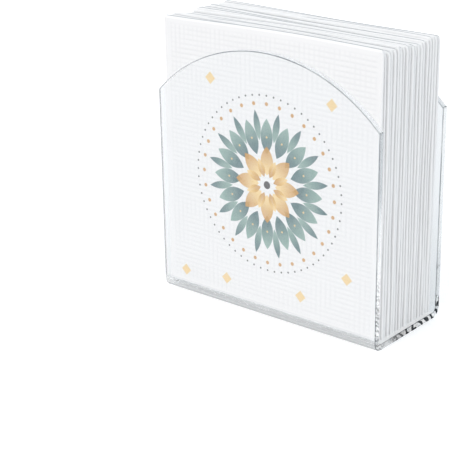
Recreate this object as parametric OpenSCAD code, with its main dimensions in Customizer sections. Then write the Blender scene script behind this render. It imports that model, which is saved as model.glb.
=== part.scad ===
// Napkin holder: one clear sheet bent into a trough with two arched walls,
// and the stack of folded paper napkins that stands in it.
// Millimetres, +Z up, front wall towards -Y, underside at z = 0.

/* [Holder] */
// Width of the sheet, from side edge to side edge
holder_w = 165; // [120:1:220]
// Depth, from the front wall's outer face to the rear wall's outer face
holder_d = 70; // [40:1:120]
// Height of the straight side edges, up to the shoulders
shoulder_h = 133.5; // [70:0.5:180]
// Height of the arched top at its middle
apex_h = 168; // [90:1:230]
// Thickness of the clear sheet
sheet_t = 4; // [2:0.5:6]
// Inner radius of the two bends
bend_r = 2.5; // [2:0.5:12]
// Bevel along the polished cut edges
edge_bevel = 0.4; // [0.1:0.1:0.8]

/* [Napkins] */
// Width of a folded napkin
napkin_w = 160; // [90:1:210]
// Height of a folded napkin
napkin_h = 173; // [90:1:230]
// Thickness of one leaf of paper with its embossing
leaf_t = 0.35; // [0.2:0.05:0.8]
// Air between the leaves of one napkin
leaf_gap = 0.35; // [0.1:0.05:0.6]

/* [Fit] */
// Air between neighbouring napkins
napkin_gap = 0.4; // [0.3:0.05:1]
// Air between the front wall and the first napkin
front_gap = 0.7; // [0.5:0.1:4]
// Least room left behind the stack, for a fingertip or one more napkin
spare_room = 4.5; // [4.5:0.5:20]
// Furthest that a napkin stands to one side of the middle
side_shift = 0.6; // [0:0.1:2]

/* [Hidden] */
$fn = 96;
// How far a cut runs past the face that it opens
overrun = 1;
// Turn from one napkin's side shift to the next, in degrees
shift_turn = 137.5;

// The arch is one circle through both shoulders and the apex.
half_w = holder_w / 2;
arch_rise = apex_h - shoulder_h;
arch_r = (half_w * half_w + arch_rise * arch_rise) / (2 * arch_rise);

// The bends run from the flat base to the flat walls.
bend_out_r = bend_r + sheet_t;
base_d = holder_d - 2 * bend_out_r;
slot_d = holder_d - 2 * sheet_t;

// A napkin is folded twice: two leaves make a pair, two pairs make a napkin.
pair_t = 2 * leaf_t + leaf_gap;
napkin_t = 2 * pair_t + leaf_gap;
napkin_pitch = napkin_t + napkin_gap;
napkin_count = floor((slot_d - front_gap - spare_room + napkin_gap) / napkin_pitch);

// Napkin 1 stands at the front. Each function takes a napkin's number.
function napkin_name(i) = str("napkin_", i < 10 ? "0" : "", i);
function front_room(i) = front_gap + (i - 1) * napkin_pitch;
function rear_room(i) = slot_d - front_room(i) - napkin_t;
function napkin_x(i) = side_shift * sin(i * shift_turn);
function napkin_y(i) = front_room(i) - slot_d / 2;

// Height of the bend's inner curve above the base, at a distance from the wall
function bend_rise(room) =
    room >= bend_r ? 0 : bend_r - sqrt(bend_r * bend_r - pow(bend_r - room, 2));

// A napkin near a wall stands on the curve of the bend, and any other on the base.
function wall_room(i) = max(0, min(front_room(i), rear_room(i)) - napkin_gap);
function napkin_z(i) = sheet_t + bend_rise(wall_room(i));

// Section of the sheet: width along X, thickness along Y, all four edges bevelled
module sheet_section() {
    polygon([
        [-half_w + edge_bevel, 0],
        [half_w - edge_bevel, 0],
        [half_w, edge_bevel],
        [half_w, sheet_t - edge_bevel],
        [half_w - edge_bevel, sheet_t],
        [-half_w + edge_bevel, sheet_t],
        [-half_w, sheet_t - edge_bevel],
        [-half_w, edge_bevel]
    ]);
}

// Disc with bevelled rims that cuts the top of a wall to its arch
module arch_disc() {
    rotate([-90, 0, 0])
        rotate_extrude()
            polygon([
                [0, 0],
                [arch_r - edge_bevel, 0],
                [arch_r, edge_bevel],
                [arch_r, sheet_t - edge_bevel],
                [arch_r - edge_bevel, sheet_t],
                [0, sheet_t]
            ]);
}

// Upright wall from the end of its bend to the arched top, inner face at y = 0
module wall() {
    translate([0, 0, bend_out_r])
        linear_extrude(shoulder_h - bend_out_r)
            sheet_section();
    intersection() {
        translate([0, 0, shoulder_h])
            linear_extrude(arch_rise + overrun)
                sheet_section();
        translate([0, 0, apex_h - arch_r])
            arch_disc();
    }
}

// Quarter turn of the sheet from the base up to the rear wall, centred on its axis
module bend() {
    rotate([0, 90, 0])
        rotate_extrude(angle = 90)
            translate([bend_r, 0])
                mirror([1, -1])
                    sheet_section();
}

// Flat base between the two bends
module base() {
    translate([0, -base_d / 2, sheet_t])
        rotate([-90, 0, 0])
            linear_extrude(base_d)
                sheet_section();
}

module holder_sheet() {
    color([0.86, 0.93, 0.97, 0.35])
        union() {
            base();
            for (side = [0, 1])
                mirror([0, side, 0]) {
                    translate([0, base_d / 2, bend_out_r])
                        bend();
                    translate([0, slot_d / 2, 0])
                        wall();
                }
        }
}

// Upright strip with a half-round top
module round_topped(width, height) {
    square([width, height - width / 2]);
    translate([width / 2, height - width / 2])
        circle(d = width);
}

// Two leaves that the first fold joins at the top: thickness along X, height along Y
module leaf_pair() {
    difference() {
        round_topped(pair_t, napkin_h);
        translate([leaf_t, -overrun])
            round_topped(leaf_gap, napkin_h - leaf_t + overrun);
    }
}

// One flat half of a napkin, from its open side edge to the second fold
module napkin_half() {
    rotate([90, 0, 90])
        linear_extrude(napkin_w - napkin_t / 2)
            leaf_pair();
}

// Second fold: the pair of leaves turns back on itself round an upright axis
module side_fold() {
    rotate([0, 0, -90])
        rotate_extrude(angle = 180)
            translate([leaf_gap / 2, 0])
                leaf_pair();
}

// Folded napkin, front face at y = 0, bottom edges at z = 0
module folded_napkin() {
    translate([-napkin_w / 2, 0, 0])
        napkin_half();
    translate([-napkin_w / 2, napkin_t - pair_t, 0])
        napkin_half();
    translate([napkin_w / 2 - napkin_t / 2, napkin_t / 2, 0])
        side_fold();
}

module napkin(i) {
    color([0.96, 0.96, 0.95])
        translate([napkin_x(i), napkin_y(i), napkin_z(i)])
            folded_napkin();
}

holder_sheet();
for (i = [1:napkin_count])
    napkin(i);
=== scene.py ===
"""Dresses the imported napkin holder: clear bent acrylic round folded paper napkins, in a white studio."""

import logging
import math
from dataclasses import dataclass, field
from enum import Enum
from typing import Union

import bpy
import numpy as np
from mathutils import Matrix, Vector


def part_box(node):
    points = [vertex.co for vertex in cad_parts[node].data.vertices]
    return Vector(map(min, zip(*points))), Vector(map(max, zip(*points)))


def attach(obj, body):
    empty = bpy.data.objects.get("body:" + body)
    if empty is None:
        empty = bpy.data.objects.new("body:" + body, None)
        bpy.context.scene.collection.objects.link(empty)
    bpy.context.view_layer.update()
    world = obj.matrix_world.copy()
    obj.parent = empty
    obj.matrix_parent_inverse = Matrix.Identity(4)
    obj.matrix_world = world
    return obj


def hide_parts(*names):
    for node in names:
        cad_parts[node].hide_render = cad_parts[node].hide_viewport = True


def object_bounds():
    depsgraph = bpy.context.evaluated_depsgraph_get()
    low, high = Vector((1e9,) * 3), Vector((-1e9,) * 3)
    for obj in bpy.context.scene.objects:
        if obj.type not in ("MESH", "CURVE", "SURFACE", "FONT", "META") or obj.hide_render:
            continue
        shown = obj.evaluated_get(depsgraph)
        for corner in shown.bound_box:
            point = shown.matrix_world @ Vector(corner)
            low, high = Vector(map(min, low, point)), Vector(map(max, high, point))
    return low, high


LOG = logging.getLogger("napkin_holder")
FRAME_PIXELS = (449, 450)
MM = 0.001
TAU = 2 * math.pi
# Leaves of a napkin that is folded twice
LEAVES = 4
# Smallest length that something is divided by
TINY = 1e-12
# Middle of a colour whose parts run from 0 to 1
MID_COLOUR = (0.5, 0.5, 0.5)
# Two values between which a mask rises or falls, or a number is drawn
Span = tuple[float, float]

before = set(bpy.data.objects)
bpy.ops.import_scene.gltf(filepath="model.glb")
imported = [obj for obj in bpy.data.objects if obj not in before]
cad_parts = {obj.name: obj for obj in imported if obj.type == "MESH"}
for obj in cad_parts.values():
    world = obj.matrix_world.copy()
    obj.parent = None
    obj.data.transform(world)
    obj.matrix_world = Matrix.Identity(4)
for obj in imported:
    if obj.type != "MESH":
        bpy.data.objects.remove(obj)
CAD_BOX = [list(corner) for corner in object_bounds()]


class Value:
    """A shader socket on which Python's operators add Math nodes."""

    def __init__(self, graph: "Graph", socket: bpy.types.NodeSocket) -> None:
        """Keeps the socket and the graph that it belongs to."""
        self.graph = graph
        self.socket = socket

    def __add__(self, other: "Feed") -> "Value":
        """Sum."""
        return self.graph.math("ADD", self, other)

    __radd__ = __add__

    def __sub__(self, other: "Feed") -> "Value":
        """Difference."""
        return self.graph.math("SUBTRACT", self, other)

    def __rsub__(self, other: "Feed") -> "Value":
        """Difference with this value second."""
        return self.graph.math("SUBTRACT", other, self)

    def __mul__(self, other: "Feed") -> "Value":
        """Product."""
        return self.graph.math("MULTIPLY", self, other)

    __rmul__ = __mul__

    def __truediv__(self, other: "Feed") -> "Value":
        """Quotient."""
        return self.graph.math("DIVIDE", self, other)

    def __pow__(self, other: "Feed") -> "Value":
        """Power."""
        return self.graph.math("POWER", self, other)

    def __abs__(self) -> "Value":
        """Size without its sign."""
        return self.graph.math("ABSOLUTE", self)

    def least(self, other: "Feed") -> "Value":
        """The smaller of two values."""
        return self.graph.math("MINIMUM", self, other)

    def most(self, other: "Feed") -> "Value":
        """The larger of two values."""
        return self.graph.math("MAXIMUM", self, other)

    def fract(self) -> "Value":
        """What is left above the whole number below."""
        return self.graph.math("FRACT", self)

    def cosine(self) -> "Value":
        """Cosine of an angle in radians."""
        return self.graph.math("COSINE", self)

    def root(self) -> "Value":
        """Square root."""
        return self.graph.math("SQRT", self)

    def step(self, low: float, high: float) -> "Value":
        """Smooth step.

        Args:
            low: Value at which the step begins at 0.
            high: Value at which the step reaches 1.

        Returns:
            A value from 0 to 1.
        """
        ends = {"Value": self, "From Min": low, "From Max": high}
        node = self.graph.add("ShaderNodeMapRange", {"interpolation_type": "SMOOTHSTEP"}, ends)
        return self.graph.out(node)

    def fade(self, low: float, high: float) -> "Value":
        """Smooth step down, from 1 at the low end to 0 at the high end."""
        return 1 - self.step(low, high)


Colour = tuple[float, float, float, float]
Feed = Union[Value, float, Colour, tuple[float, float, float]]


class Graph:
    """Adds nodes to one shader tree."""

    def __init__(self, tree: bpy.types.NodeTree) -> None:
        """Takes the tree and empties it."""
        self.tree = tree
        tree.nodes.clear()

    def add(
        self,
        kind: str,
        settings: dict[str, object] | None = None,
        sockets: dict[str | int, Feed] | None = None,
    ) -> bpy.types.Node:
        """Adds one node.

        Args:
            kind: The node's type name.
            settings: Properties of the node, set first.
            sockets: Values or links for its inputs, by name or number.

        Returns:
            The new node.
        """
        node = self.tree.nodes.new(kind)
        for name, setting in (settings or {}).items():
            setattr(node, name, setting)
        for name, feed in (sockets or {}).items():
            if isinstance(feed, Value):
                self.tree.links.new(feed.socket, node.inputs[name])
            else:
                node.inputs[name].default_value = feed
        return node

    def out(self, node: bpy.types.Node, name: str | int = 0) -> Value:
        """Wraps one output of a node."""
        return Value(self, node.outputs[name])

    def math(self, operation: str, first: Feed, second: Feed | None = None) -> Value:
        """Adds a Math node with one value or two."""
        sockets = {0: first} if second is None else {0: first, 1: second}
        return self.out(self.add("ShaderNodeMath", {"operation": operation}, sockets))

    def vector(self, operation: str, first: Feed, second: Feed | None = None) -> Value:
        """Adds a Vector Math node with one vector or two."""
        sockets = {0: first} if second is None else {0: first, 1: second}
        return self.out(self.add("ShaderNodeVectorMath", {"operation": operation}, sockets))

    def blend(self, share: Feed, below: Feed, above: Feed) -> Value:
        """Mixes two colours, by the share of the second."""
        # The Mix node has its colours at inputs 6 and 7 and at output 2.
        node = self.add("ShaderNodeMix", {"data_type": "RGBA"}, {0: share, 6: below, 7: above})
        return self.out(node, 2)

    def noise(self, vector: Value, scale: float, detail: float = 2.0) -> Value:
        """Noise from 0 to 1, with so many features to the metre and so many finer octaves."""
        sockets = {"Vector": vector, "Scale": scale, "Detail": detail}
        return self.out(self.add("ShaderNodeTexNoise", {}, sockets))

    def split(self, vector: Value) -> tuple[Value, Value, Value]:
        """Splits a vector into its three numbers."""
        node = self.add("ShaderNodeSeparateXYZ", {}, {0: vector})
        return self.out(node, 0), self.out(node, 1), self.out(node, 2)

    def place(self) -> Value:
        """Place on the object, in metres from its origin."""
        return self.out(self.add("ShaderNodeTexCoord"), "Object")

    def attribute(self, name: str, output: str) -> Value:
        """Reads a value that the mesh holds at each point."""
        return self.out(self.add("ShaderNodeAttribute", {"attribute_name": name}), output)

    def shader(self, kind: str, sockets: dict[str | int, Feed]) -> Value:
        """Adds a shader node and wraps its result."""
        return self.out(self.add(kind, {}, sockets))

    def mix(self, share: Value, below: Value, above: Value) -> Value:
        """Mixes two shaders, by the share of the second."""
        return self.shader("ShaderNodeMixShader", {0: share, 1: below, 2: above})

    def surface(self, shader: Value) -> None:
        """Makes a shader the tree's surface."""
        self.add("ShaderNodeOutputMaterial", {}, {"Surface": shader})


def new_material(name: str) -> tuple[bpy.types.Material, Graph]:
    """Makes an empty node material.

    Args:
        name: The material's name.

    Returns:
        The material and the graph of its nodes.
    """
    material = bpy.data.materials.new(name)
    material.use_nodes = True
    return material, Graph(material.node_tree)


def put_in_scene(name: str, data: bpy.types.ID) -> bpy.types.Object:
    """Makes an object and links it to the scene.

    Args:
        name: The object's name.
        data: Its mesh or camera.

    Returns:
        The new object.
    """
    made = bpy.data.objects.new(name, data)
    bpy.context.scene.collection.objects.link(made)
    return made


@dataclass(frozen=True)
class PaintedEdgeReflections:
    """Painted dark reflections, slanted, on the cut edges: flecks along the base and the rear wall, dashes
    in front.
    """

    half_depth: float
    bend_height: float
    # Shares that begin a stretch are of the half depth on the base and of the bend height on a wall
    stray_per_metre: float = 90.0
    stray_turns: float = 2.4
    base_pitch: float = 7 * MM
    base_slant: float = 0.9
    base_share: float = 0.42
    base_begin_shares: Span = (-0.6, -0.1)
    wall_pitch: float = 3 * MM
    wall_slant: float = 0.5
    wall_share: float = 0.5
    wall_thinning: float = 0.7
    wall_begin_shares: Span = (1.0, 1.2)
    wall_thinning_shares: Span = (1.3, 1.8)
    lone_chance: Span = (0.57, 0.60)
    lone_top: Span = (28.8 * MM, 36 * MM)
    fleck_soft: float = 0.05
    fleck_shade: float = 0.95
    dash_stray_per_metre: float = 270.0
    dash_pitch: float = 2.8 * MM
    dash_share: float = 0.45
    dash_soft: float = 0.08
    dash_top: Span = (23.2 * MM, 58 * MM)
    dash_shade: float = 0.52

    def flecks(self, graph: Graph, where: Value) -> Value:
        """Flecks that are broad along the base, and finer and fewer up a wall.

        Args:
            graph: The material's graph.
            where: Place on the sheet, in metres.

        Returns:
            Mask of the flecks.
        """
        _, y, z = graph.split(where)
        height = z / self.bend_height
        stray = graph.noise(where, self.stray_per_metre)
        along_base = ((y + self.base_slant * z) / self.base_pitch + self.stray_turns * stray).fract()
        up_wall = ((z + self.wall_slant * y) / self.wall_pitch + self.stray_turns * stray).fract()
        begun = (y / self.half_depth).step(*self.base_begin_shares)
        on_base = (self.base_share - along_base).step(0.0, self.fleck_soft) * begun
        share = self.wall_share - self.wall_thinning * height.step(*self.wall_thinning_shares)
        lone = stray.step(*self.lone_chance) * z.fade(*self.lone_top)
        on_wall = (share - up_wall).step(0.0, self.fleck_soft).most(lone)
        upright = height.step(*self.wall_begin_shares)
        return on_base * (1 - upright) + on_wall * upright

    def dashes(self, graph: Graph, where: Value) -> Value:
        """Fine dashes low on a wall.

        Args:
            graph: The material's graph.
            where: Place on the sheet, in metres.

        Returns:
            Mask of the dashes.
        """
        _, y, z = graph.split(where)
        stray = graph.noise(where, self.dash_stray_per_metre)
        along = ((z + self.wall_slant * y) / self.dash_pitch + self.stray_turns * stray).fract()
        return (self.dash_share - along).step(0.0, self.dash_soft) * z.fade(*self.dash_top)

    def shade(self, graph: Graph, where: Value, in_front: Value) -> Value:
        """Strength of the painted dark reflections, from the place on the sheet and the front wall's mask.
        """
        flecks = self.flecks(graph, where) * (1 - in_front) * self.fleck_shade
        return flecks.most(self.dashes(graph, where) * in_front * self.dash_shade)


@dataclass(frozen=True)
class ClearAcrylic:
    """Polished clear acrylic, faintly cool, with painted dark reflections on its bevels, rims and cut
    edges and painted shade on its bends, rear wall and edge tops.
    """

    half_width: float
    half_depth: float
    shoulder_height: float
    apex_height: float
    thickness: float = 4.0 * MM
    bend_height: float = 6.5 * MM
    index: float = 1.49
    # Broad faces: front and rear shares count thicknesses from the wall's outer face
    tint: Colour = (0.985, 0.992, 0.996, 1.0)
    cloud: Colour = (0.990, 0.995, 0.997, 1.0)
    clouds_per_metre: float = 12.0
    # Painted shade: the rear wall is greyer
    rear_painted_shade: Colour = (0.93, 0.945, 0.955, 1.0)
    front_shares: Span = (1.0, 3.0)
    rear_shares: Span = (1.0, 2.0)
    through: Colour = (0.997, 0.998, 0.999, 1.0)
    # Cut edges: the grey facets are painted dark reflections and the grey strip at the top is painted
    # shade; the strip's shares are of the shoulder height
    edge_reach: Span = (0.3 * MM, 0.6 * MM)
    edge_tint: Colour = (0.96, 0.975, 0.985, 1.0)
    facet_painted_reflection: Colour = (0.62, 0.645, 0.665, 1.0)
    # Painted dark reflections on the cut edges and painted shade low on the bends, as a dark diffuse mixed
    # in
    painted_dark: Colour = (0.02, 0.025, 0.03, 1.0)
    edge_rough: float = 0.03
    grey_chance: Span = (0.70, 0.74)
    strip_painted_shade: Colour = (0.36, 0.385, 0.41, 1.0)
    strip_shares: Span = (0.55, 0.75)
    rear_strip_share: float = 0.15
    # Painted dark reflection: the arched rims' cut faces are greyer
    rim_painted_reflection: Colour = (0.74, 0.78, 0.815, 1.0)
    rim_rough: float = 0.02
    # Painted dark reflections on the bevels along the cut edges, darker in some patches
    bevel_painted_reflection: Colour = (0.10, 0.12, 0.135, 1.0)
    bevel_begins: Span = (0.05 * MM, 0.12 * MM)
    bevel_ends: Span = (0.5525 * MM, 0.715 * MM)
    bevel_patches_per_metre: float = 45.0
    bevel_patch: Span = (0.35, 0.6)
    bevel_least_share: float = 0.7
    # Facets low on the cut edges, calmer in front
    facets_per_metre: float = 270.0
    facet_tilt: float = 0.55
    facet_top: Span = (11.25 * MM, 75 * MM)
    rear_facet_top: Span = (7.2 * MM, 14.4 * MM)
    front_calm_share: float = 0.8
    # Bends: their grey and the dark low on their outer curve are painted shade; inset and top shares count
    # bend heights, and beside shares are of the half depth
    bend_painted_shade: Colour = (0.89, 0.905, 0.915, 1.0)
    bend_share: float = 0.75
    bend_inset_shares: Span = (0.9, 1.2)
    bend_top_shares: Span = (1.26, 1.32)
    beside_shares: Span = (0.4, 0.48)
    under_top: Span = (0.3 * MM, 0.6 * MM)
    skin_soft: float = 0.5 * MM
    foot_shade: float = 0.22
    foot_inset_shares: Span = (0.7, 0.9)
    foot_begins: Span = (0.15 * MM, 0.4 * MM)
    foot_top: Span = (2.94 * MM, 4.2 * MM)

    def on_bevel(self, away: Value) -> Value:
        """1 on the bevel beside a cut edge, from the distance to it."""
        return away.step(*self.bevel_begins) * away.fade(*self.bevel_ends)

    def in_front(self, y: Value) -> Value:
        """1 on the front wall, 0 from its bend backwards."""
        return ((y + self.half_depth) / self.thickness).fade(*self.front_shares)

    def inset(self, y: Value) -> Value:
        """Distance from the nearer wall's outer face, in bend heights."""
        return (self.half_depth - abs(y)) / self.bend_height

    def edge_masks(self, graph: Graph, where: Value) -> tuple[Value, Value, Value]:
        """Finds the cut edges of the sheet.

        Args:
            graph: The material's graph.
            where: Place on the sheet, in metres.

        Returns:
            Masks of the straight side edges, of the arched rims and of the bevels along both.
        """
        x, _, z = graph.split(where)
        rise = self.apex_height - self.shoulder_height
        radius = (self.half_width**2 + rise**2) / (2 * rise)
        from_side = self.half_width - abs(x)
        from_rim = radius - (x * x + (z - (self.apex_height - radius)) ** 2).root()
        on_arch = z.step(self.shoulder_height - self.edge_reach[1], self.shoulder_height)
        bevel = self.on_bevel(from_side).most(self.on_bevel(from_rim) * on_arch)
        return from_side.fade(*self.edge_reach), from_rim.fade(*self.edge_reach) * on_arch, bevel

    def bent(self, y: Value, z: Value) -> Value:
        """Finds the two bends.

        Args:
            y: Place from the front to the rear.
            z: Height.

        Returns:
            1 round the bends, just above them and on the underside beside them.
        """
        top = (z / self.bend_height).fade(*self.bend_top_shares)
        round_bend = self.inset(y).fade(*self.bend_inset_shares) * top
        beside = (abs(y) / self.half_depth).step(*self.beside_shares)
        return round_bend.most(beside * z.fade(*self.under_top))

    def outer(self, y: Value, z: Value) -> Value:
        """Finds the outer face of the bent sheet.

        Args:
            y: Place from the front to the rear.
            z: Height.

        Returns:
            1 on the outer face, 0 on the inner face.
        """
        outward = (abs(y) - (self.half_depth - self.bend_height)).most(0.0)
        down = (self.bend_height - z).most(0.0)
        middle = self.bend_height - self.thickness / 2
        reach = (outward * outward + down * down).root()
        return reach.step(middle - self.skin_soft, middle + self.skin_soft)

    def bend_foot(self, y: Value, z: Value) -> Value:
        """1 low on the outer curve of the bends, 0 on the flat underside."""
        outward = self.inset(y).fade(*self.foot_inset_shares)
        return outward * z.step(*self.foot_begins) * z.fade(*self.foot_top)

    def facet_normal(self, graph: Graph, scatter: Value, share: Value) -> Value:
        """Tilts the surface a different way on each facet.

        Args:
            graph: The material's graph.
            scatter: A colour that differs from facet to facet.
            share: How strongly a place is faceted.

        Returns:
            The tilted normal.
        """
        facing = graph.out(graph.add("ShaderNodeNewGeometry"), "Normal")
        lean = graph.vector("SUBTRACT", scatter, MID_COLOUR)
        sockets = {0: lean, "Scale": share * self.facet_tilt}
        scaled = graph.out(graph.add("ShaderNodeVectorMath", {"operation": "SCALE"}, sockets))
        return graph.vector("NORMALIZE", graph.vector("ADD", facing, scaled))

    def body_colour(self, graph: Graph, where: Value) -> Value:
        """Colour of the broad faces, with painted shade greying the rear wall.

        Args:
            graph: The material's graph.
            where: Place on the sheet, in metres.

        Returns:
            The colour.
        """
        _, y, _ = graph.split(where)
        colour = graph.blend(graph.noise(where, self.clouds_per_metre), self.tint, self.cloud)
        # Painted shade on the rear wall
        behind = ((self.half_depth - y) / self.thickness).fade(*self.rear_shares)
        return graph.blend(behind, colour, self.rear_painted_shade)

    def edge_colour(self, graph: Graph, where: Value, scatter: Value, facets: Value) -> Value:
        """Colour of the straight cut edges: painted shade at the top, and grey facets below that are
        painted dark reflections.

        Args:
            graph: The material's graph.
            where: Place on the sheet, in metres.
            scatter: A colour that differs from facet to facet.
            facets: How strongly a place is faceted.

        Returns:
            The colour.
        """
        _, y, z = graph.split(where)
        _, chance, _ = graph.split(scatter)
        # Painted dark reflections: grey facets
        colour = graph.blend(facets * chance.step(*self.grey_chance), self.edge_tint, self.facet_painted_reflection)
        # Painted shade: grey strip at the top of the cut edges, lighter behind
        strip = self.rear_strip_share + (1 - self.rear_strip_share) * self.in_front(y)
        high = (z / self.shoulder_height).step(*self.strip_shares)
        return graph.blend(high * strip, colour, self.strip_painted_shade)

    def glass(
        self, graph: Graph, where: Value, edges: tuple[Value, Value, Value], leaving: Value
    ) -> Value:
        """The clear body with painted dark reflections on its rims and bevels, and its faceted cut edges.

        Args:
            graph: The material's graph.
            where: Place on the sheet, in metres.
            edges: Masks of the side edges, the rims and the bevels.
            leaving: 1 where light leaves the sheet, 0 where it enters.

        Returns:
            The shader.
        """
        side, rim, bevel = edges
        _, y, z = graph.split(where)
        in_front = self.in_front(y)
        cells = graph.add(
            "ShaderNodeTexVoronoi",
            {"feature": "F1", "distance": "MANHATTAN"},
            {"Vector": where, "Scale": self.facets_per_metre},
        )
        scatter = graph.out(cells, "Color")
        facets = z.fade(*self.facet_top) * (1 - (1 - in_front) * z.step(*self.rear_facet_top))
        # Painted dark reflections on the rims, the cut edges' facets and the bevels, and painted shade at
        # the top of the cut edges
        colour = graph.blend(rim, self.body_colour(graph, where), self.rim_painted_reflection)
        colour = graph.blend(side, colour, self.edge_colour(graph, where, scatter, facets))
        patches = graph.noise(where, self.bevel_patches_per_metre).step(*self.bevel_patch)
        patchy = self.bevel_least_share + (1 - self.bevel_least_share) * patches
        colour = graph.blend(bevel * patchy, colour, self.bevel_painted_reflection)
        tilt = side * facets * (1 - self.front_calm_share * in_front) * (1 - leaving)
        sockets = {
            "Base Color": graph.blend(leaving, colour, self.tint),
            "Roughness": (side * self.edge_rough + rim * self.rim_rough) * (1 - leaving),
            "Normal": self.facet_normal(graph, scatter, tilt),
            "IOR": self.index,
            "Transmission Weight": 1.0,
        }
        return graph.shader("ShaderNodeBsdfPrincipled", sockets)

    def make(self) -> bpy.types.Material:
        """Makes the material.

        Returns:
            The material.
        """
        material, graph = new_material("clear_acrylic")
        where = graph.place()
        _, y, z = graph.split(where)
        edges = self.edge_masks(graph, where)
        side = edges[0]
        leaving = graph.out(graph.add("ShaderNodeNewGeometry"), "Backfacing")
        path = graph.add("ShaderNodeLightPath")
        mirrored = graph.out(path, "Is Reflection Ray")
        bent = self.bent(y, z) * (1 - side)
        # Painted shade: the bends are greyed by a grey transparent mix
        grey = graph.shader("ShaderNodeBsdfTransparent", {"Color": self.bend_painted_shade})
        body = self.glass(graph, where, edges, leaving)
        body = graph.mix(bent * (1 - mirrored) * self.bend_share, body, grey)
        # Painted shade low on the outer curve of the bends
        foot = self.bend_foot(y, z) * (1 - side) * self.foot_shade
        # Painted dark reflections on the cut edges
        painted_reflections = PaintedEdgeReflections(self.half_depth, self.bend_height).shade(graph, where, self.in_front(y))
        dark = graph.shader("ShaderNodeBsdfDiffuse", {"Color": self.painted_dark})
        body = graph.mix(foot.most(painted_reflections * side) * (1 - leaving), body, dark)
        clear = graph.shader("ShaderNodeBsdfTransparent", {"Color": self.through})
        lighting = graph.out(path, "Is Shadow Ray").most(graph.out(path, "Is Diffuse Ray"))
        leaked = lighting.most(bent * self.outer(y, z) * mirrored)
        graph.surface(graph.mix(leaked, body, clear))
        return material


class Ink(Enum):
    """Colours of the printed ornament."""

    TEAL = (0.05, 0.14, 0.155, 1.0)
    SAGE = (0.24, 0.38, 0.34, 1.0)
    GOLD = (0.60, 0.32, 0.09, 1.0)
    PALE_GOLD = (0.86, 0.63, 0.29, 1.0)
    CHARCOAL = (0.012, 0.012, 0.014, 1.0)


@dataclass(frozen=True)
class Petals:
    """A ring of printed petals."""

    count: int
    start: float
    end: float
    half_width: float
    turn: float
    ink: Ink
    shade: Ink


@dataclass(frozen=True)
class Dots:
    """A ring of printed dots."""

    count: int
    ring: float
    radius: float
    turn: float
    ink: Ink


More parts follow.
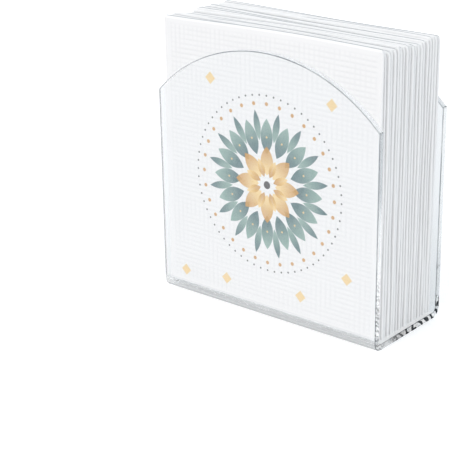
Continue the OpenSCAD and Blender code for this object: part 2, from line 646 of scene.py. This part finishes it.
@dataclass(frozen=True)
class RosettePrint:
    """A round ornament of petals and dots with loose lozenges about it."""

    soft: float = 0.35 * MM
    petals: tuple[Petals, ...] = (
        Petals(16, 19 * MM, 41 * MM, 4.7 * MM, 0.0, Ink.TEAL, Ink.SAGE),
        Petals(16, 27 * MM, 46 * MM, 2.6 * MM, 0.5, Ink.SAGE, Ink.TEAL),
        Petals(8, 6 * MM, 24 * MM, 5.0 * MM, 0.0, Ink.PALE_GOLD, Ink.GOLD),
        Petals(8, 5 * MM, 17 * MM, 2.6 * MM, 0.5, Ink.GOLD, Ink.PALE_GOLD),
    )
    shade_shares: Span = (0.1, 0.95)
    dots: tuple[Dots, ...] = (
        Dots(32, 49.5 * MM, 1.35 * MM, 0.0, Ink.GOLD),
        Dots(64, 54.5 * MM, 0.75 * MM, 0.0, Ink.CHARCOAL),
        Dots(16, 29.5 * MM, 0.8 * MM, 0.0, Ink.PALE_GOLD),
        Dots(1, 0.0, 2.6 * MM, 0.0, Ink.CHARCOAL),
    )
    loose_per_metre: float = 31.5
    loose_random: float = 0.5
    loose_half: float = 4.0 * MM
    loose_core_share: float = 0.92
    loose_from: float = 67 * MM
    loose_to: float = 76 * MM

    def lane(self, angle: Value, count: int, turn: float) -> Value:
        """Signed share of a lane, from -0.5 to 0.5, when a full turn is cut into lanes."""
        return (angle * (count / TAU) + (turn + 0.5)).fract() - 0.5

    def petal_mask(self, radius: Value, angle: Value, ring: Petals) -> tuple[Value, Value]:
        """Draws a ring of petals.

        Args:
            radius: Distance from the ornament's middle.
            angle: Angle about it.
            ring: The ring's sizes.

        Returns:
            The petals' mask, and how far along its petal a point lies.
        """
        along = (radius - ring.start) / (ring.end - ring.start)
        half = along * (1 - along) * (4 * ring.half_width)
        aside = abs(self.lane(angle, ring.count, ring.turn)) * radius * (TAU / ring.count)
        return (half - aside).step(0.0, self.soft), along

    def dot_mask(self, radius: Value, angle: Value, ring: Dots) -> Value:
        """Draws a ring of dots.

        Args:
            radius: Distance from the ornament's middle.
            angle: Angle about it.
            ring: The ring's sizes.

        Returns:
            The dots' mask.
        """
        aside = self.lane(angle, ring.count, ring.turn) * (ring.ring * TAU / ring.count)
        away = ((radius - ring.ring) ** 2 + aside * aside).root()
        return (ring.radius - away).step(0.0, self.soft)

    def rosette(self, graph: Graph, below: Value, across: Value, up: Value, wash: Value) -> Value:
        """Prints the petals and dots.

        Args:
            graph: The material's graph.
            below: The colour under the print.
            across: Place from the ornament's middle, to the side.
            up: Place from the ornament's middle, upwards.
            wash: Strength of the ink.

        Returns:
            The printed colour.
        """
        radius = (across * across + up * up).root()
        angle = graph.math("ARCTAN2", up, across)
        colour = below
        for ring in self.petals:
            mask, along = self.petal_mask(radius, angle, ring)
            ink = graph.blend(along.step(*self.shade_shares), ring.ink.value, ring.shade.value)
            colour = graph.blend(mask * wash, colour, ink)
        for ring in self.dots:
            colour = graph.blend(self.dot_mask(radius, angle, ring) * wash, colour, ring.ink.value)
        return colour

    def lozenges(self, graph: Graph, flat: Value, face: "Face") -> Value:
        """Scatters lozenges over the rest of the face.

        Args:
            graph: The material's graph.
            flat: Place on the flat sheet.
            face: The printed face.

        Returns:
            The lozenges' mask.
        """
        cells = graph.add(
            "ShaderNodeTexVoronoi",
            {"feature": "F1", "distance": "MANHATTAN", "voronoi_dimensions": "2D"},
            {"Vector": flat, "Scale": self.loose_per_metre, "Randomness": self.loose_random},
        )
        across, up = face.place(graph, graph.out(cells, "Position"))
        away = (across * across + up * up).root()
        whole = graph.math("GREATER_THAN", face.to_edge(across, up), face.margin + self.loose_half)
        apart = graph.math("GREATER_THAN", away, self.loose_from)
        near = graph.math("LESS_THAN", away, self.loose_to)
        low = graph.math("LESS_THAN", up, 0.0)
        reach = self.loose_half * self.loose_per_metre
        inside = graph.out(cells, "Distance").fade(self.loose_core_share * reach, reach)
        return inside * whole * apart * low.most(near)


@dataclass(frozen=True)
class Face:
    """One outer face of a folded napkin, found from places on the flat sheet."""

    width: float
    height: float
    sheet_width: float
    margin: float = 5.5 * MM

    def place(self, graph: Graph, flat: Value) -> tuple[Value, Value]:
        """Place from the middle of the face, to the side and upwards."""
        along, rise, _ = graph.split(flat)
        return abs(along - self.sheet_width / 2) - self.width / 2, rise - self.height / 2

    def to_edge(self, across: Value, up: Value) -> Value:
        """Distance to the nearest edge of the face."""
        return (self.width / 2 - abs(across)).least(self.height / 2 - abs(up))


@dataclass(frozen=True)
class NapkinPaper:
    """Soft white tissue paper with an embossed waffle, a plain margin and a printed ornament, with painted
    shade in the grooves and on the top folds' crests and painted highlights along the creases.
    """

    face: Face
    ornament: RosettePrint = RosettePrint()
    rosette_rise: float = -6 * MM
    white: Colour = (0.880, 0.876, 0.877, 1.0)
    # Painted shade: the waffle's grooves are darker
    painted_groove_shade: Colour = (0.79, 0.79, 0.795, 1.0)
    # Painted highlights: the paper is whiter along the creases
    painted_crease_highlight: Colour = (0.95, 0.952, 0.955, 1.0)
    # Painted shade on the top fold's crest, standing in for the shade between napkins
    painted_ridge_shade: Colour = (0.47, 0.49, 0.51, 1.0)
    ridge_reach: Span = (0.32 * MM, 0.64 * MM)
    top_crease_reach: Span = (0.96 * MM, 1.76 * MM)
    side_crease_reach: Span = (0.64 * MM, 1.6 * MM)
    rear_half_shares: Span = (0.5, 0.51)
    margin_soft: float = 2.5 * MM
    row_pitch: float = 3.0 * MM
    row_press: float = 0.25
    row_patch_press: float = 0.65
    column_pitch: float = 3.5 * MM
    column_press: float = 0.1
    column_patch_press: float = 0.6
    crossing_press: float = 0.5
    patches_per_metre: float = 70.0
    patch_detail: float = 3.0
    patch_span: Span = (0.32, 0.68)
    fibres_per_metre: float = 900.0
    fine_detail: float = 4.0
    fibre_share: float = 0.2
    washes_per_metre: float = 160.0
    wash_least_share: float = 0.78
    outer_span: Span = (0.4, 0.6)
    bump_strength: float = 0.5
    bump_depth: float = 0.2 * MM
    rough: float = 0.86
    fibre_rough: float = 0.1
    gloss: float = 0.2
    sheen: float = 0.15
    sheen_rough: float = 0.6

    @staticmethod
    def grooves(place: Value, pitch: float) -> Value:
        """Soft grooves across a line: 1 in the middle of each, 0 between them."""
        return (0.5 - 0.5 * (place * (TAU / pitch)).cosine()) ** 2

    def waffle(self, graph: Graph, sheet: Value, across: Value, up: Value) -> Value:
        """Presses the waffle into the paper, harder in some patches than in others.

        Args:
            graph: The material's graph.
            sheet: Place on the flat sheet.
            across: Place from the middle of the face, to the side.
            up: Place from the middle of the face, upwards.

        Returns:
            Height of the paper: 0 in the grooves, 1 on the pillows.
        """
        columns = self.grooves(across, self.column_pitch)
        rows = self.grooves(up, self.row_pitch)
        patch = graph.noise(sheet, self.patches_per_metre, self.patch_detail).step(*self.patch_span)
        columns_pressed = columns * (self.column_press + self.column_patch_press * patch)
        rows_pressed = rows * (self.row_press + self.row_patch_press * (1 - patch))
        press = columns_pressed + rows_pressed * (1 - self.crossing_press * columns)
        return 1 - press.least(1.0)

    def fold_masks(self, across: Value, up: Value) -> tuple[Value, Value]:
        """Finds the folds.

        Args:
            across: Place from the middle of the face, to the side.
            up: Place from the middle of the face, upwards.

        Returns:
            Masks of the painted shade on the top fold's crest, and of the painted highlights along the
            creases by it and at the side.
        """
        from_top = abs(self.face.height / 2 - up)
        from_side = across + self.face.width / 2
        creases = from_top.fade(*self.top_crease_reach).most(from_side.fade(*self.side_crease_reach))
        return from_top.fade(*self.ridge_reach), creases

    def bare_colour(self, graph: Graph, sheet: Value, relief: Value) -> Value:
        """Colour of the paper under the print, with painted shade in the waffle's grooves and on the top
        folds' crests, and painted highlights along the creases.

        Args:
            graph: The material's graph.
            sheet: Place on the flat sheet.
            relief: Height of the embossed paper, from 0 to 1.

        Returns:
            The colour.
        """
        along, _, _ = graph.split(sheet)
        painted_ridge_shade, painted_crease_highlight = self.fold_masks(*self.face.place(graph, sheet))
        rear_half = (along / self.face.sheet_width).step(*self.rear_half_shares)
        # Painted shade on the rear half of the top fold's crest, as strong as the napkin's ridge_shade
        painted_ridge_mask = painted_ridge_shade * graph.attribute("ridge_shade", "Fac") * rear_half
        paper = graph.blend(relief, self.painted_groove_shade, self.white)
        return graph.blend(painted_ridge_mask, graph.blend(painted_crease_highlight, paper, self.painted_crease_highlight), self.painted_ridge_shade)

    def make(self) -> bpy.types.Material:
        """Makes the material.

        Returns:
            The material.
        """
        material, graph = new_material("napkin_paper")
        sheet = graph.attribute("sheet_at", "Vector")
        _, _, outer = graph.split(sheet)
        across, up = self.face.place(graph, sheet)
        margin = self.face.margin
        inside = self.face.to_edge(across, up).step(margin - self.margin_soft, margin)
        emboss = 1 - inside * (1 - self.waffle(graph, sheet, across, up))
        fibre = graph.noise(sheet, self.fibres_per_metre, self.fine_detail)
        relief = emboss * (1 - self.fibre_share) + fibre * self.fibre_share
        paper = self.bare_colour(graph, sheet, relief)
        uneven = graph.noise(sheet, self.washes_per_metre, self.fine_detail)
        wash = self.wash_least_share + (1 - self.wash_least_share) * uneven
        printed = self.ornament.rosette(graph, paper, across, up - self.rosette_rise, wash)
        loose = self.ornament.lozenges(graph, sheet, self.face) * wash
        printed = graph.blend(loose, printed, Ink.PALE_GOLD.value)
        height = emboss + fibre * self.fibre_share
        bump = {"Height": height, "Strength": self.bump_strength, "Distance": self.bump_depth}
        sockets = {
            "Base Color": graph.blend(outer.step(*self.outer_span) * inside, paper, printed),
            "Roughness": self.rough + self.fibre_rough * fibre,
            "Normal": graph.out(graph.add("ShaderNodeBump", {}, bump)),
            "Specular IOR Level": self.gloss,
            "Sheen Weight": self.sheen,
            "Sheen Roughness": self.sheen_rough,
        }
        graph.surface(graph.shader("ShaderNodeBsdfPrincipled", sockets))
        return material


@dataclass
class HolderSheet:
    """The clear holder, one sheet bent twice, as the CAD node gives it."""

    node: str = "holder_sheet"
    shoulder_height: float = 133.5 * MM

    def dress(self) -> bpy.types.Object:
        """Gives the CAD node its clear finish.

        Returns:
            The node's object.
        """
        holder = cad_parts[self.node]
        _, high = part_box(self.node)
        finish = ClearAcrylic(high.x, high.y, self.shoulder_height, high.z)
        holder.data.materials.clear()
        holder.data.materials.append(finish.make())
        return holder


@dataclass(frozen=True)
class Waves:
    """Gentle waves of the paper along a line: a long one with a shorter one on it."""

    length: float
    seed_step: float
    seed_start: float = 0.0
    short_share: float = 0.43
    long_height_share: float = 0.65
    phase_step: float = 2.4
    phase_sway: float = 1.7
    sway_step: float = 1.3
    short_phase: float = 1.9

    def at(self, place: np.ndarray, number: int) -> np.ndarray:
        """Height of the waves.

        Args:
            place: Distances along the line.
            number: The napkin's number, which shifts its waves against another's.

        Returns:
            Values from about -1 to 1.
        """
        seed = self.seed_step * number + self.seed_start
        phase = self.phase_step * seed + self.phase_sway * math.sin(self.sway_step * seed)
        long_wave = np.sin(TAU * place / self.length + phase)
        short_length = self.short_share * self.length
        short_wave = np.sin(TAU * place / short_length + self.short_phase * phase)
        return self.long_height_share * long_wave + (1 - self.long_height_share) * short_wave


@dataclass
class FoldedNapkin:
    """One paper napkin: a sheet folded at the top and then at its right side."""

    number: int
    front_shift: float
    rear_shift: float
    lean_back: float
    press: float
    ridge_shade: float
    rise: float
    fall_right: float = 1.5 * MM
    leaf: float = 0.35 * MM
    press_wander: float = 0.45
    press_waves: Waves = Waves(140 * MM, 2.7)
    press_limit: float = 0.5
    side_press_reach: float = 5 * MM
    top_press: float = 0.35
    top_press_reach: float = 5 * MM
    fold_point: float = 0.9
    shift_kept_share: float = 0.25
    lean_power: float = 1.4
    lean_limit: float = 1.02
    ripple: float = 0.10 * MM
    foot_ripple_share: float = 0.4
    upright_waves: Waves = Waves(110 * MM, 0.35)
    level_waves: Waves = Waves(130 * MM, 0.35, 4.0)
    edge_wander: float = 0.30 * MM
    edge_waves: Waves = Waves(150 * MM, 3.1)
    edge_power: int = 3
    top_wander: float = 1.4 * MM
    top_waves: Waves = Waves(450 * MM, 5.3)
    top_sag: float = 0.3
    top_power: int = 3
    corner_radius: float = 2.6 * MM
    sharp_angle: float = math.radians(50)
    leg_steps: int = 26
    side_fold_steps: int = 8
    top_fold_steps: int = 6
    node: str = field(init=False)
    width: float = field(init=False)
    height: float = field(init=False)
    depth: float = field(init=False)
    foot: Vector = field(init=False)

    def __post_init__(self) -> None:
        """Takes the napkin's size and place from its CAD node."""
        self.node = f"napkin_{self.number:02d}"
        low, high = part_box(self.node)
        self.width, depth, self.height = high - low
        self.depth = depth + self.rear_shift - self.front_shift
        middle = self.shift_kept_share * (low.x + high.x) / 2
        self.foot = Vector((middle, low.y + self.front_shift, low.z))

    def leg(self, length: float) -> np.ndarray:
        """Places along a straight leg, closer together near its ends."""
        turn = np.linspace(0, math.pi, self.leg_steps)
        return length * (0.5 - 0.5 * np.cos(turn))

    def fold_line(self, length: float, steps: int) -> tuple[np.ndarray, np.ndarray]:
        """Walks out along a leg, round a fold and back.

        Args:
            length: Length of each straight leg.
            steps: Steps round the half turn of the fold.

        Returns:
            Distance along the leg, and angle round the fold from 0 to half a turn.
        """
        out = self.leg(length)
        turn = np.linspace(0, math.pi, steps + 1)[1:-1]
        along = np.concatenate([out, np.full(len(turn), length), out[::-1]])
        angle = np.concatenate([np.zeros(len(out)), turn, np.full(len(out), math.pi)])
        return along, angle

    @staticmethod
    def ramp(along: np.ndarray, length: float, reach: float) -> np.ndarray:
        """Rises from 0 to 1 over the last stretch of a leg."""
        return np.clip((along - length + reach) / reach, 0, 1) ** 2

    @staticmethod
    def unfolded(along: np.ndarray, angle: np.ndarray, leg: float, radius: float) -> np.ndarray:
        """Distance along the paper itself, out along a leg, round its fold and back."""
        back = angle > math.pi - TINY
        return np.where(back, 2 * leg + math.pi * radius - along, along + angle * radius)

    def folded_sheet(self) -> tuple[np.ndarray, np.ndarray]:
        """Folds the flat sheet twice.

        Returns:
            Points of the paper's middle surface as a grid, and each one's place on the flat sheet.
        """
        side_radius = (self.depth - self.leaf) / 2
        top_radius = side_radius / (LEAVES - 1)
        leg_up = self.height - top_radius - self.leaf / 2
        leg_out = self.width - self.fold_point * side_radius - self.leaf / 2
        up, over = self.fold_line(leg_up, self.top_fold_steps)
        out, round_side = self.fold_line(leg_out, self.side_fold_steps)
        top_pressed = 1 - self.top_press * self.ramp(up, leg_up, self.top_press_reach)
        inward = top_radius * (1 - np.cos(over) * top_pressed)
        z = up + top_radius * np.sin(over)
        wander = 1 + self.press_wander * self.press_waves.at(up, self.number)
        press = np.minimum(self.press * wander, self.press_limit)
        side_pressed = 1 - self.ramp(out, leg_out, self.side_press_reach)[:, None] * press[None, :]
        radius = (side_radius - inward[None, :]) * side_pressed
        x = out[:, None] + self.fold_point * radius * np.sin(round_side)[:, None] - self.width / 2
        y = self.depth / 2 - radius * np.cos(round_side)[:, None]
        grid = np.stack([x, y, np.broadcast_to(z, x.shape)], axis=-1)
        along = self.unfolded(out, round_side, leg_out, side_radius)
        rise = self.unfolded(up, over, leg_up, top_radius)
        flat = np.stack(np.meshgrid(along, rise, indexing="ij"), axis=-1)
        return grid, flat

    def round_corner(self, x: np.ndarray, z: np.ndarray) -> tuple[np.ndarray, np.ndarray]:
        """Rounds the upper right corner.

        Args:
            x: Places to the side.
            z: Heights.

        Returns:
            The moved places and heights.
        """
        corner_x = np.clip((x - self.width / 2) / self.corner_radius + 1, 0, None)
        corner_z = np.clip((z - self.height) / self.corner_radius + 1, 0, None)
        reach = np.sqrt(corner_x**2 + corner_z**2)
        square = np.maximum(corner_x, corner_z)
        pull = np.where(reach > TINY, 1 - square / np.maximum(reach, TINY), 0.0) * self.corner_radius
        return x - corner_x * pull, z - corner_z * pull

    def soften(self, grid: np.ndarray) -> np.ndarray:
        """Gives the stiff folded form the slack of real paper.

        Args:
            grid: Points of the folded sheet, foot at z = 0.

        Returns:
            The moved points.
        """
        x, z = self.round_corner(grid[..., 0], grid[..., 2])
        high = z / self.height
        y = grid[..., 1] + self.lean_back * np.clip(high, 0, self.lean_limit) ** self.lean_power
        rippled = self.foot_ripple_share + (1 - self.foot_ripple_share) * high
        y += self.ripple * self.upright_waves.at(z, self.number) * rippled
        y += self.ripple * self.level_waves.at(x, self.number)
        near_right = np.clip(x / self.width + 0.5, 0, 1) ** self.edge_power
        x += self.edge_wander * self.edge_waves.at(z, self.number) * near_right
        z += self.top_wander * (self.top_waves.at(x, self.number) - self.top_sag) * high**self.top_power
        z += (self.rise - self.fall_right * (x / self.width + 0.5)) * high
        return np.stack([x, y, z], axis=-1)

    def shells(self, grid: np.ndarray) -> tuple[np.ndarray, np.ndarray]:
        """Gives the paper its thickness.

        Args:
            grid: Points of the paper's middle surface.

        Returns:
            The outer and the inner face of the paper, as grids.
        """
        along = np.gradient(grid, axis=0)
        rise = np.gradient(grid, axis=1)
        normal = np.cross(along, rise)
        normal /= np.maximum(np.linalg.norm(normal, axis=-1, keepdims=True), TINY)
        return grid + normal * (self.leaf / 2), grid - normal * (self.leaf / 2)

    @staticmethod
    def faces(columns: int, rows: int) -> list[tuple[int, int, int, int]]:
        """Joins two grids of points into one closed skin.

        Args:
            columns: Points along the sheet.
            rows: Points up the sheet.

        Returns:
            Four point numbers for each face.
        """
        inner = columns * rows
        found = []
        for i in range(columns - 1):
            for j in range(rows - 1):
                a, b = i * rows + j, (i + 1) * rows + j
                found.append((a, b, b + 1, a + 1))
                found.append((inner + a, inner + a + 1, inner + b + 1, inner + b))
        rim = [i * rows for i in range(columns)]
        rim += [(columns - 1) * rows + j for j in range(1, rows)]
        rim += [i * rows + rows - 1 for i in range(columns - 2, -1, -1)]
        rim += [j for j in range(rows - 2, 0, -1)]
        for first, second in zip(rim, rim[1:] + rim[:1]):
            found.append((second, first, inner + first, inner + second))
        return found

    def mark(self, mesh: bpy.types.Mesh, place: np.ndarray) -> None:
        """Gives the mesh the values that the paper's finish reads.

        Args:
            mesh: The napkin's mesh, with the points of its outer face first.
            place: Place of each point of one face on the flat sheet.
        """
        on_outer = np.ones((len(place), 1))
        sheet_at = np.concatenate([np.hstack([place, on_outer]), np.hstack([place, 0 * on_outer])])
        places = mesh.attributes.new("sheet_at", "FLOAT_VECTOR", "POINT")
        places.data.foreach_set("vector", sheet_at.astype(np.float32).ravel())
        shades = mesh.attributes.new("ridge_shade", "FLOAT", "POINT")
        shades.data.foreach_set("value", np.full(len(sheet_at), self.ridge_shade, np.float32))

    def build(self, paper: bpy.types.Material) -> bpy.types.Object:
        """Makes the napkin and puts it in the place of its CAD node.

        Args:
            paper: The paper's material.

        Returns:
            The new object.
        """
        grid, flat = self.folded_sheet()
        outer, inner = self.shells(self.soften(grid))
        points = np.concatenate([outer.reshape(-1, 3), inner.reshape(-1, 3)]) + np.array(self.foot)
        columns, rows = grid.shape[:2]
        mesh = bpy.data.meshes.new(f"paper_{self.node}")
        mesh.from_pydata(points.tolist(), [], self.faces(columns, rows))
        self.mark(mesh, flat.reshape(-1, 2))
        mesh.polygons.foreach_set("use_smooth", np.ones(len(mesh.polygons), bool))
        mesh.set_sharp_from_angle(angle=self.sharp_angle)
        mesh.materials.append(paper)
        napkin = put_in_scene(f"paper_{self.node}", mesh)
        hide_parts(self.node)
        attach(napkin, self.node)
        2 * self.width
        2 * self.height
        return napkin


@dataclass
class NapkinStack:
    """All the napkins that stand in the holder."""

    uneven: float = 0.38 * MM
    press: Span = (0.16, 0.50)
    spread: float = 2.9 * MM
    lean_back: float = 0.7 * MM
    loose_share: float = 0.4
    loose_lean: Span = (0.5, 1.0)
    close_lean: float = 0.06
    front_rise: float = 2.0 * MM
    rear_rise: float = 1.2 * MM
    # Every so many napkins get painted shade on their top fold's crest, of a drawn strength
    line_step: float = 1.9
    line_shade: Span = (0.6, 1.0)
    seed: int = 7

    def napkins(self) -> list[FoldedNapkin]:
        """Draws how each napkin stands, from the front one to the rear one.

        Returns:
            The napkins.
        """
        count = sum(name.startswith("napkin_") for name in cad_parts)
        draw = np.random.default_rng(self.seed)
        shifts = draw.uniform(-self.uneven, self.uneven, count + 1)
        shifts[0] = shifts[-1] = 0.0
        shifts += np.linspace(0.0, self.spread, count + 1)
        apart = draw.uniform(size=count) < self.loose_share
        loose = apart * draw.uniform(*self.loose_lean, count) + self.close_lean
        loose[0] = 0.0
        leans = self.lean_back * np.cumsum(loose) / loose.sum()
        presses = draw.uniform(*self.press, count)
        lined = (np.arange(count) % self.line_step < 1.0) * draw.uniform(*self.line_shade, count)
        lined[-1] = 1.0
        rises = np.linspace(self.front_rise, self.rear_rise, count)
        drawn = zip(shifts, shifts[1:], leans, presses, lined, rises)
        return [FoldedNapkin(number, *stance) for number, stance in enumerate(drawn, 1)]

    def build(self) -> list[bpy.types.Object]:
        """Makes every napkin, all of one paper.

        Returns:
            The napkins' objects.
        """
        napkins = self.napkins()
        first = napkins[0]
        sheet_width = 2 * (first.width - first.depth / 2) + math.pi * (first.depth - first.leaf) / 2
        paper = NapkinPaper(Face(first.width, first.height, sheet_width)).make()
        return [napkin.build(paper) for napkin in napkins]


@dataclass(frozen=True)
class PhotoCamera:
    """The camera, at the photograph's angle and distance."""

    azimuth: float = math.radians(40.42)
    elevation: float = math.radians(20.57)
    roll: float = math.radians(-1.10)
    distance: float = 829.8 * MM
    aim_right: float = -24.6 * MM
    aim_up: float = 57.8 * MM
    focal_pixels: float = 1338.0
    clip: Span = (10 * MM, 100.0)

    def place(self) -> bpy.types.Object:
        """Makes the camera and looks through it.

        Returns:
            The camera's object.
        """
        back = Vector(
            (
                math.sin(self.azimuth) * math.cos(self.elevation),
                -math.cos(self.azimuth) * math.cos(self.elevation),
                math.sin(self.elevation),
            )
        )
        level = Vector((math.cos(self.azimuth), math.sin(self.azimuth), 0.0))
        upright = back.cross(level)
        right = level * math.cos(self.roll) + upright * math.sin(self.roll)
        up = upright * math.cos(self.roll) - level * math.sin(self.roll)
        front_foot = Vector((0.0, CAD_BOX[0][1], 0.0))
        spot = front_foot + back * self.distance + right * self.aim_right + up * self.aim_up
        data = bpy.data.cameras.new("photo_camera")
        data.lens = self.focal_pixels / max(FRAME_PIXELS) * data.sensor_width
        data.clip_start, data.clip_end = self.clip
        camera = put_in_scene("photo_camera", data)
        camera.matrix_world = Matrix((right, up, back)).transposed().to_4x4()
        camera.location = spot
        bpy.context.scene.camera = camera
        return camera


@dataclass
class Studio:
    """White floor and soft surround."""

    floor_size: float = 8.0
    floor_drop: float = 0.3 * MM
    floor_white: Colour = (0.92, 0.92, 0.92, 1.0)
    floor_glow: float = 0.32
    floor_gleam: float = 0.12
    # Painted pool of light: beneath the holder the floor's own colour is dimmer and it glows at a fixed
    # strength instead
    under_white: Colour = (0.25, 0.25, 0.25, 1.0)
    painted_pool_glow: float = 0.80
    under_soft: float = 6 * MM
    key: tuple[float, float, float] = (-0.14, -0.92, 0.28)
    fill: float = 0.86
    key_gain: float = 0.55
    key_tone: Colour = (1.02, 1.0, 0.995, 1.0)
    shade_tone: Colour = (0.82, 0.945, 1.03, 1.0)
    bounces: int = 160

    @staticmethod
    def rays(graph: Graph) -> tuple[Value, Value]:
        """Finds how a place is seen.

        Args:
            graph: The graph of the floor or the surround.

        Returns:
            1 where the camera sees it straight, and 1 where a surface mirrors it or lets it through.
        """
        path = graph.add("ShaderNodeLightPath")
        mirrored = graph.out(path, "Is Glossy Ray").most(graph.out(path, "Is Transmission Ray"))
        return graph.out(path, "Is Camera Ray"), mirrored

    def beneath(self, graph: Graph) -> Value:
        """Finds the part of the floor that the holder covers.

        Args:
            graph: The floor's graph.

        Returns:
            1 beneath the holder, 0 elsewhere.
        """
        x, y, _ = graph.split(graph.place())
        half_width, half_depth, _ = CAD_BOX[1]
        across = abs(x).fade(half_width - self.under_soft, half_width)
        return across * abs(y).fade(half_depth - self.under_soft, half_depth)

    def glow(self, graph: Graph, beneath: Value) -> Value:
        """Light that the floor adds where it is seen, also through clear pieces.

        Args:
            graph: The floor's graph.
            beneath: Mask of the part that the holder covers.

        Returns:
            Its strength, more of it beneath the holder as a painted pool of light.
        """
        straight, mirrored = self.rays(graph)
        around = (straight * self.floor_glow).most(mirrored * self.floor_gleam)
        return around + beneath * (straight.most(mirrored) * self.painted_pool_glow - around)

    def floor_finish(self) -> bpy.types.Material:
        """Makes the floor's matte white, with its added light and a painted pool of light beneath the
        holder.

        Returns:
            The material.
        """
        material, graph = new_material("studio_floor")
        beneath = self.beneath(graph)
        bare = graph.shader("ShaderNodeBsdfDiffuse", {"Color": self.floor_white})
        covered = graph.shader("ShaderNodeBsdfDiffuse", {"Color": self.under_white})
        matte = graph.mix(beneath, bare, covered)
        light = graph.shader("ShaderNodeEmission", {"Color": self.glow(graph, beneath)})
        graph.surface(graph.shader("ShaderNodeAddShader", {0: matte, 1: light}))
        return material

    def floor(self) -> bpy.types.Object:
        """Lays the floor just under the object.

        Returns:
            The floor's object.
        """
        half = self.floor_size / 2
        corners = [(-half, -half, 0), (half, -half, 0), (half, half, 0), (-half, half, 0)]
        mesh = bpy.data.meshes.new("studio_floor")
        mesh.from_pydata(corners, [], [(0, 1, 2, 3)])
        mesh.materials.append(self.floor_finish())
        floor = put_in_scene("studio_floor", mesh)
        floor.location.z = -self.floor_drop
        return floor

    def surround(self) -> None:
        """Lights the scene with a soft surround, brighter on the key side and white where it is seen."""
        world = bpy.data.worlds.new("studio_surround")
        world.use_nodes = True
        graph = Graph(world.node_tree)
        way = graph.out(graph.add("ShaderNodeTexCoord"), "Generated")
        key = Vector(self.key).normalized()
        dot = graph.add("ShaderNodeVectorMath", {"operation": "DOT_PRODUCT"}, {0: way, 1: key})
        facing = graph.out(dot, "Value")
        level = self.fill + self.key_gain * facing
        straight, mirrored = self.rays(graph)
        seen = straight.most(mirrored)
        strength = level + seen * (1 - level)
        tone = graph.blend((0.5 + 0.5 * facing).most(seen), self.shade_tone, self.key_tone)
        light = graph.shader("ShaderNodeBackground", {"Color": tone, "Strength": strength})
        graph.add("ShaderNodeOutputWorld", {}, {"Surface": light})
        bpy.context.scene.world = world

    def build(self) -> None:
        """Sets the floor, the light and the way colours are shown."""
        self.floor()
        self.surround()
        bpy.context.scene.cycles.max_bounces = self.bounces
        bpy.context.scene.cycles.glossy_bounces = self.bounces
        bpy.context.scene.cycles.transmission_bounces = self.bounces
        bpy.context.scene.view_settings.view_transform = "Standard"


def main() -> None:
    """Builds the scene."""
    logging.basicConfig(level=logging.INFO)
    PhotoCamera().place()
    Studio().build()
    holder = HolderSheet().dress()
    LOG.info("dressed %s", holder.name)
    for napkin in NapkinStack().build():
        LOG.info("made %s with %d faces", napkin.name, len(napkin.data.polygons))


if __name__ == "__main__":
    main()
